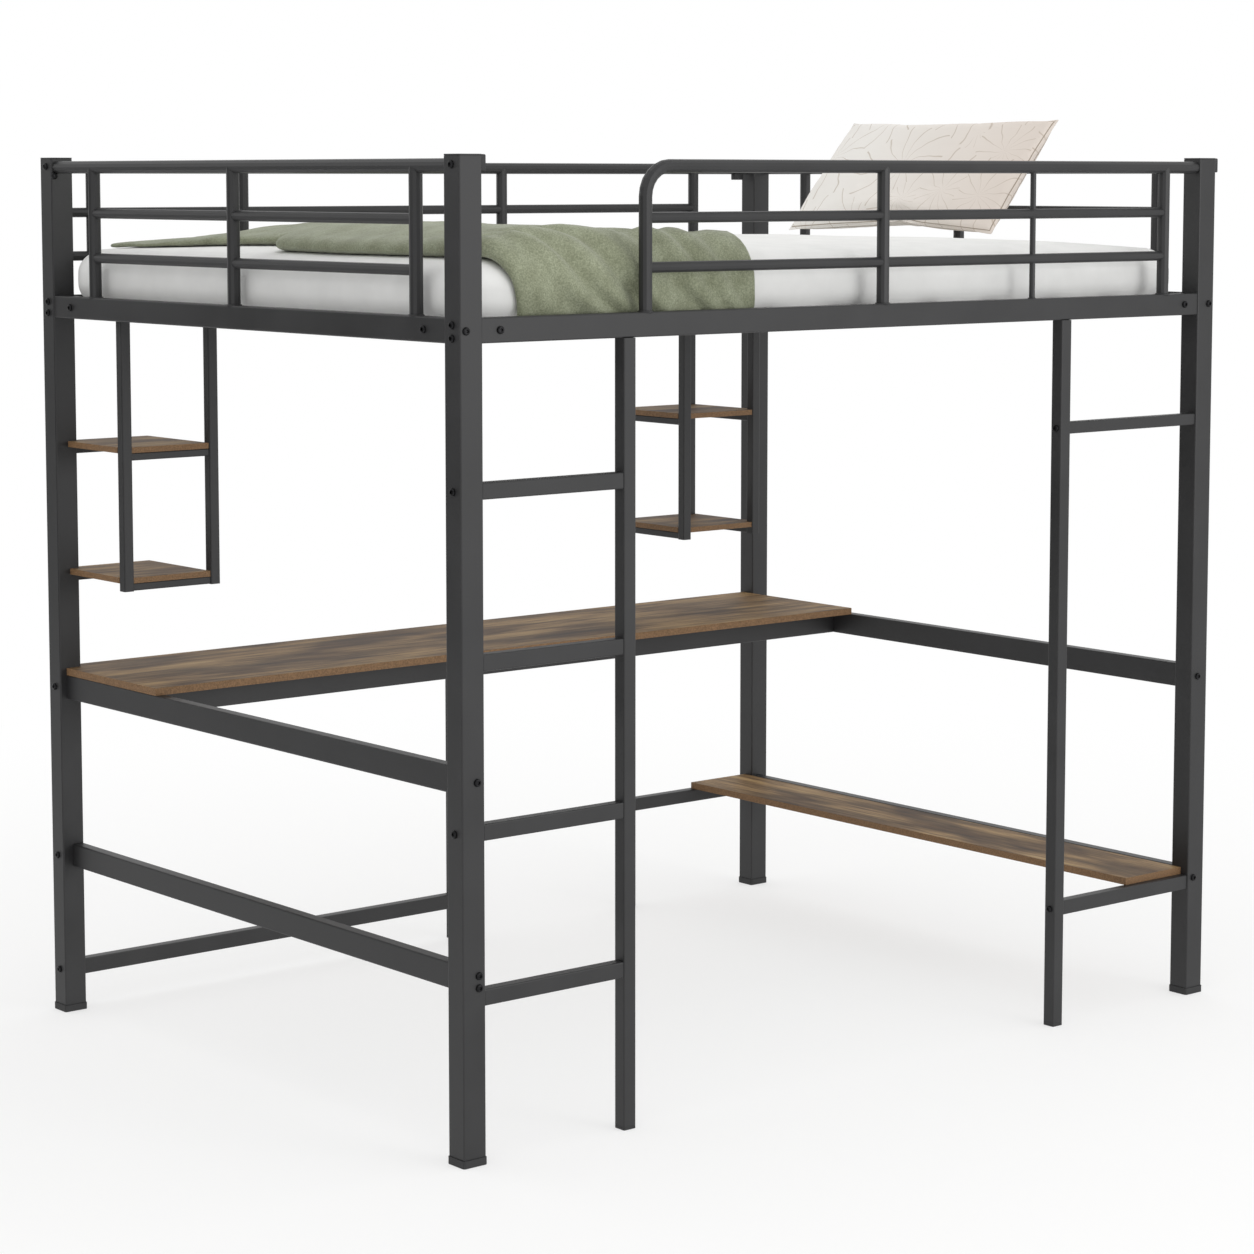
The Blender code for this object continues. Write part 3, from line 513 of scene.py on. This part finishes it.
def folded_place(column, row):
    """Where a point of the folded cloth lies: a column across its width, a row along its length."""
    past = row / ROWS * whole_length - top_length        # distance past the turn over the edge
    y = turn_y - past if past < 0 else turn_y
    hung = smooth(past, -0.03, 0.085)
    pile_height = (PILE_TOP * (1 - 0.72 * smooth(y, 0.02, back_y - 0.02)) * (1 - hung)
                   + PILE_HUNG * hung)
    slide = 0.050 * smooth(past, -0.05, 0.115)
    flare = 0.105 * smooth(y, -0.02, 0.09) * (1 - 0.85 * smooth(y, 0.10, 0.60)) * (1 - hung)
    left = FOOT_SIDE + slide + flare + 0.006 * sin(y * 7)
    right = HEAD_SIDE + 0.018 * hung + 0.004 * sin(y * 9)
    half = (BASE + pile_height) / 2
    reach_out = 0.028 * (1 - hung) + 0.007 * hung

    # x across the bed and w over the mattress: the middle layer, its tuck, the bottom layer, the
    # turn at the foot side, the top layer, and the brow that closes it at the head side
    if column <= INNER:
        x, w = left + 0.03 + column / INNER * (right - 0.05 - left), half
    elif column <= TUCK_END:
        t = (column - INNER) / TUCK
        x = right - 0.02 + 0.4 * reach_out * sin(pi * t)
        w = (half + BASE) / 2 + (half - BASE) / 2 * cos(pi * t)
    elif column <= UNDER_END:
        x, w = right - 0.02 + (column - TUCK_END) / UNDER * (left - right + 0.02), BASE
    elif column <= TURN_END:
        t = (column - UNDER_END) / TURN
        x, w = left - reach_out * sin(pi * t), half - (pile_height - BASE) / 2 * cos(pi * t)
    elif column <= UPPER_END:
        x, w = left + (column - TURN_END) / UPPER * (right - left), pile_height
    else:
        t = (column - UPPER_END) / BROW
        x = right + reach_out * sin(pi / 2 * t)
        w = BASE + 0.0005 + (pile_height - BASE) * cos(pi / 2 * t)

    # the pile sinks towards its two sides, and the folds, the swelling and the nap lie over it
    share = (w - BASE) / (pile_height - BASE)
    slump = ((1 - 0.70 * smooth(x, right - 0.38, right + 0.01))
             * (1 - 0.36 * smooth(-x, -left - 0.12, -left + 0.02)))
    if past < 0.0:
        w = BASE + (w - BASE) * (slump + (1 - slump) * hung)
    lift = 0.0
    for start, slant, width, tall, reach in CREASES:
        waver = 0.020 * noise.noise(Vector((past * 11, start * 9, 0.0)))
        off = (x - start - slant * past - waver) / width
        off /= 1 + 1.3 * smooth(-past, -0.04, 0.12)
        lift += tall * exp(-off * off) * smooth(past, -reach, 0.055)
    lift *= 1 - 0.5 * smooth(x, right - 0.05, right + 0.01)
    swell = (0.0055 * noise.noise(Vector((x * 5.5, y * 4.5, 3.0)))
             + 0.0028 * noise.noise(Vector((x * 6, y * 17, 8.0))))
    on_top = smooth(-past, -0.02, 0.10)
    w += max(0.0, min(lift, TALLEST)) * (share * on_top + 1 - on_top) + swell * share * on_top
    w += 0.0006 * noise.noise(Vector((x * 60, row * 0.6, share * 2)))

    rise = top_rise(x, y) * (1 - smooth(past, 0.0, turn_length))
    if past < 0:
        ragged = 0.010 * sin(column * 0.021) * smooth(-past, top_length - 0.2, top_length)
        return Vector((x, y + ragged, mattress_high.z + rise + w))
    angle = min(past / EDGE, pi / 2)
    down = max(0.0, past - turn_length)
    return Vector((x, turn_y - (EDGE + w) * sin(angle),
                   mattress_high.z + rise - EDGE + (EDGE + w) * cos(angle) - down))


bpy.ops.object.select_all(action="DESELECT")
bpy.ops.mesh.primitive_grid_add(x_subdivisions=COLUMNS, y_subdivisions=ROWS, size=1.0)
throw = bpy.context.object
throw.name = "folded_fleece_throw"
for vertex in throw.data.vertices:
    column, row = round((vertex.co.x + 0.5) * COLUMNS), round((vertex.co.y + 0.5) * ROWS)
    vertex.co = folded_place(column, row)
bpy.ops.object.mode_set(mode="EDIT")
bpy.ops.mesh.select_all(action="SELECT")
bpy.ops.mesh.normals_make_consistent(inside=False)
bpy.ops.object.mode_set(mode="OBJECT")
cloth = throw.modifiers.new("cloth", "SOLIDIFY")
cloth.thickness, cloth.offset = FLEECE, 0.0
bpy.ops.object.modifier_apply(modifier="cloth")
bpy.ops.object.shade_smooth()
fleece, tree, shader, place = new_material("sage_polyester_fleece")
tufts = add(tree, "TexNoise", {"Vector": place, "Scale": 320.0, "Detail": 3.0, "Roughness": 0.6})
# Painted shade: patches of about 4 cm where the fleece's colour is darkened.
painted_shade_patches = add(tree, "TexNoise", {"Vector": place, "Scale": 22.0, "Detail": 4.0})
mottle = add(tree, "ValToRGB", {"Fac": tufts.outputs["Fac"]},
             stops=((0.34, "#828770"), (0.52, "#959a82"), (0.68, "#a5aa92")))
shade = add(tree, "ValToRGB", {"Fac": painted_shade_patches.outputs["Fac"]},
            stops=((0.35, "#dcdcd6"), (0.65, "#ffffff")))
tone = add(tree, "MixRGB", {"Fac": 0.8, "Color1": mottle.outputs["Color"],
                            "Color2": shade.outputs["Color"]}, blend_type="MULTIPLY")
tree.links.new(tone.outputs[0], shader.inputs["Base Color"])
nap = add(tree, "Bump", {"Height": tufts.outputs["Fac"], "Strength": 0.55, "Distance": 0.0018})
tree.links.new(nap.outputs["Normal"], shader.inputs["Normal"])
shader.inputs["Roughness"].default_value = 0.95
shader.inputs["Specular IOR Level"].default_value = 0.1
shader.inputs["Sheen Weight"].default_value = 0.25
shader.inputs["Sheen Roughness"].default_value = 0.5
throw.data.materials.append(fleece)
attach(throw, "throw")
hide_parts("throw")

# ---- pillow -------------------------------------------------------------------------------------
# A flat-bordered pillow in printed cotton, about 66 x 33 cm, leaning on the head guard. Two panels
# are sewn round the edge and blown up by the filling, which pulls the sides in and points the
# corners; a line of stitches inside the edge leaves a flat border of 11 mm.
WIDE, CHORD, PLUMP, BORDER = 0.680, 0.358, 0.086, 0.011  # the panels as cut, the thickness, the hem
ACROSS, UP = 84, 44                                      # the panels' divisions
START_RISE = 0.012                                       # how far each panel stands off at first
HEM = 0.0012                                             # half the border's thickness
FINISHED = (0.660, 0.330, PLUMP)
LEAN = radians(50.3)                                     # from level
OFFSET = (-0.003, 0.028, 0.002)                          # from the middle of the CAD solid
bpy.ops.object.select_all(action="DESELECT")
bpy.ops.mesh.primitive_grid_add(x_subdivisions=ACROSS, y_subdivisions=UP, size=1.0)
pillow = bpy.context.object
pillow.name = "printed_pillow"
for vertex in pillow.data.vertices:
    inside = (1 - (2 * vertex.co.x) ** 2) * (1 - (2 * vertex.co.y) ** 2)
    vertex.co = Vector((vertex.co.x * WIDE, vertex.co.y * CHORD,
                        START_RISE * max(0.0, inside) ** 0.5))
bpy.ops.object.duplicate()
under = bpy.context.object
under.data.transform(Matrix.Diagonal((1.0, 1.0, -1.0, 1.0)))
under.data.flip_normals()
pillow.select_set(True)
bpy.context.view_layer.objects.active = pillow
bpy.ops.object.join()
bpy.ops.object.mode_set(mode="EDIT")
bpy.ops.mesh.select_all(action="SELECT")
bpy.ops.mesh.remove_doubles(threshold=0.0002)
bpy.ops.mesh.normals_make_consistent(inside=False)
bpy.ops.object.mode_set(mode="OBJECT")
flat = [vertex.co.copy() for vertex in pillow.data.vertices]
sewn = pillow.modifiers.new("filling", "CLOTH")
sewn.settings.quality = 8
sewn.settings.mass = 0.2
sewn.settings.tension_stiffness = sewn.settings.compression_stiffness = 60.0
sewn.settings.shear_stiffness = 30.0
sewn.settings.bending_stiffness = 1.5
sewn.settings.use_pressure = True
sewn.settings.uniform_pressure_force = 1.0
sewn.settings.effector_weights.gravity = 0.0
for number in range(1, 25):
    bpy.context.scene.frame_set(number)
bpy.ops.object.modifier_apply(modifier="filling")
bpy.context.scene.frame_set(1)
twins = {}
for vertex, start in zip(pillow.data.vertices, flat):
    twins.setdefault((round(start.x, 4), round(start.y, 4)), []).append(vertex)
for (x, y), pair in twins.items():
    to_edge = min(WIDE / 2 - abs(x), CHORD / 2 - abs(y))
    if len(pair) == 2 and to_edge < BORDER:
        centre = (pair[0].co + pair[1].co) / 2
        for vertex in pair:
            vertex.co = centre + (vertex.co - centre).normalized() * HEM
spans = [[max(v.co[i] for v in pillow.data.vertices), min(v.co[i] for v in pillow.data.vertices)]
         for i in range(3)]
resize = Matrix.Diagonal((*[w / (s[0] - s[1]) for w, s in zip(FINISHED, spans)], 1.0))
centred = Matrix.Translation([-(s[0] + s[1]) / 2 for s in spans])
pillow_low, pillow_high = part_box("pillow")
pillow_place = [(pillow_low[i] + pillow_high[i]) / 2 + OFFSET[i] for i in range(3)]
leaned = Matrix(((0, cos(LEAN), -sin(LEAN), pillow_place[0]), (-1, 0, 0, pillow_place[1]),
                 (0, sin(LEAN), cos(LEAN), pillow_place[2]), (0, 0, 0, 1)))
pillow.data.transform(leaned @ resize @ centred)
finer = pillow.modifiers.new("finer", "SUBSURF")
finer.levels = finer.render_levels = 1
bpy.ops.object.modifier_apply(modifier="finer")
bpy.ops.object.shade_smooth()
# Printed cotton: matt cream, a little darker towards one end, with a fine weave. The print is fans
# of thin leaf veins about 19 cm apart, and a brown seam line runs just inside the border.
printed, tree, shader, place = new_material("leaf_print_cotton")
cloth_place = add(tree, "UVMap").outputs["UV"]
sized = add(tree, "Mapping", {"Vector": cloth_place, "Scale": (0.70, 0.37, 1.0)})
waver = add(tree, "TexNoise", {"Vector": sized.outputs["Vector"], "Scale": 9.0, "Detail": 2.0})
bend = add(tree, "VectorMath", {0: waver.outputs["Color"], 1: (0.05, 0.05, 0.0)},
           operation="MULTIPLY")
wavy = add(tree, "VectorMath", {0: sized.outputs["Vector"], 1: bend.outputs[0]}, operation="ADD")
leaves = add(tree, "TexVoronoi", {"Vector": wavy.outputs[0], "Scale": 5.2, "Randomness": 0.8})
local = add(tree, "VectorMath", {0: wavy.outputs[0], 1: leaves.outputs["Position"]},
            operation="SUBTRACT")
parts = add(tree, "SeparateXYZ", {0: local.outputs[0]})
around = add(tree, "Math", {0: parts.outputs["Y"], 1: parts.outputs["X"]}, operation="ARCTAN2")
spread = add(tree, "Math", {0: around.outputs[0], 1: 3.8}, operation="MULTIPLY")
curl = add(tree, "VectorMath", {0: local.outputs[0]}, operation="LENGTH")
swirl = add(tree, "Math", {0: curl.outputs["Value"], 1: 9.0}, operation="MULTIPLY")
turned = add(tree, "Math", {0: spread.outputs[0], 1: swirl.outputs[0]}, operation="ADD")
ribs = add(tree, "Math", {0: turned.outputs[0], 1: 1.0}, operation="PINGPONG")
veins = add(tree, "MapRange", {"Value": ribs.outputs[0], "From Min": 0.0, "From Max": 0.09,
                               "To Min": 1.0, "To Max": 0.0})
faded = add(tree, "Math", {0: veins.outputs[0], 1: 0.75}, operation="MULTIPLY")
across = add(tree, "SeparateXYZ", {0: cloth_place})
from_sides = add(tree, "Math", {0: across.outputs["X"], 1: 0.5}, operation="PINGPONG")
from_ends = add(tree, "Math", {0: across.outputs["Y"], 1: 0.5}, operation="PINGPONG")
sides_m = add(tree, "Math", {0: from_sides.outputs[0], 1: WIDE}, operation="MULTIPLY")
ends_m = add(tree, "Math", {0: from_ends.outputs[0], 1: CHORD}, operation="MULTIPLY")
to_seam = add(tree, "Math", {0: sides_m.outputs[0], 1: ends_m.outputs[0]}, operation="MINIMUM")
on_seam = add(tree, "Math", {0: to_seam.outputs[0], 1: BORDER + 0.001, 2: 0.0011},
              operation="COMPARE")
tint = add(tree, "ValToRGB", {"Fac": across.outputs["X"]},
           stops=((0.20, "#ebe8e3"), (0.95, "#dbd1c8")))
print_tone = add(tree, "MixRGB", {"Fac": faded.outputs[0], "Color1": tint.outputs["Color"],
                                  "Color2": linear("#b3a595")})
stitched = add(tree, "MixRGB", {"Fac": on_seam.outputs[0], "Color1": print_tone.outputs[0],
                                "Color2": linear("#9d9184")})
weave = add(tree, "TexNoise", {"Vector": place, "Scale": 1100.0, "Detail": 2.0})
tree.links.new(stitched.outputs[0], shader.inputs["Base Color"])
threads = add(tree, "Bump", {"Height": weave.outputs["Fac"], "Strength": 0.2, "Distance": 0.0006})
tree.links.new(threads.outputs["Normal"], shader.inputs["Normal"])
shader.inputs["Roughness"].default_value = 0.85
shader.inputs["Specular IOR Level"].default_value = 0.2
pillow.data.materials.append(printed)
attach(pillow, "pillow")
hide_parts("pillow")
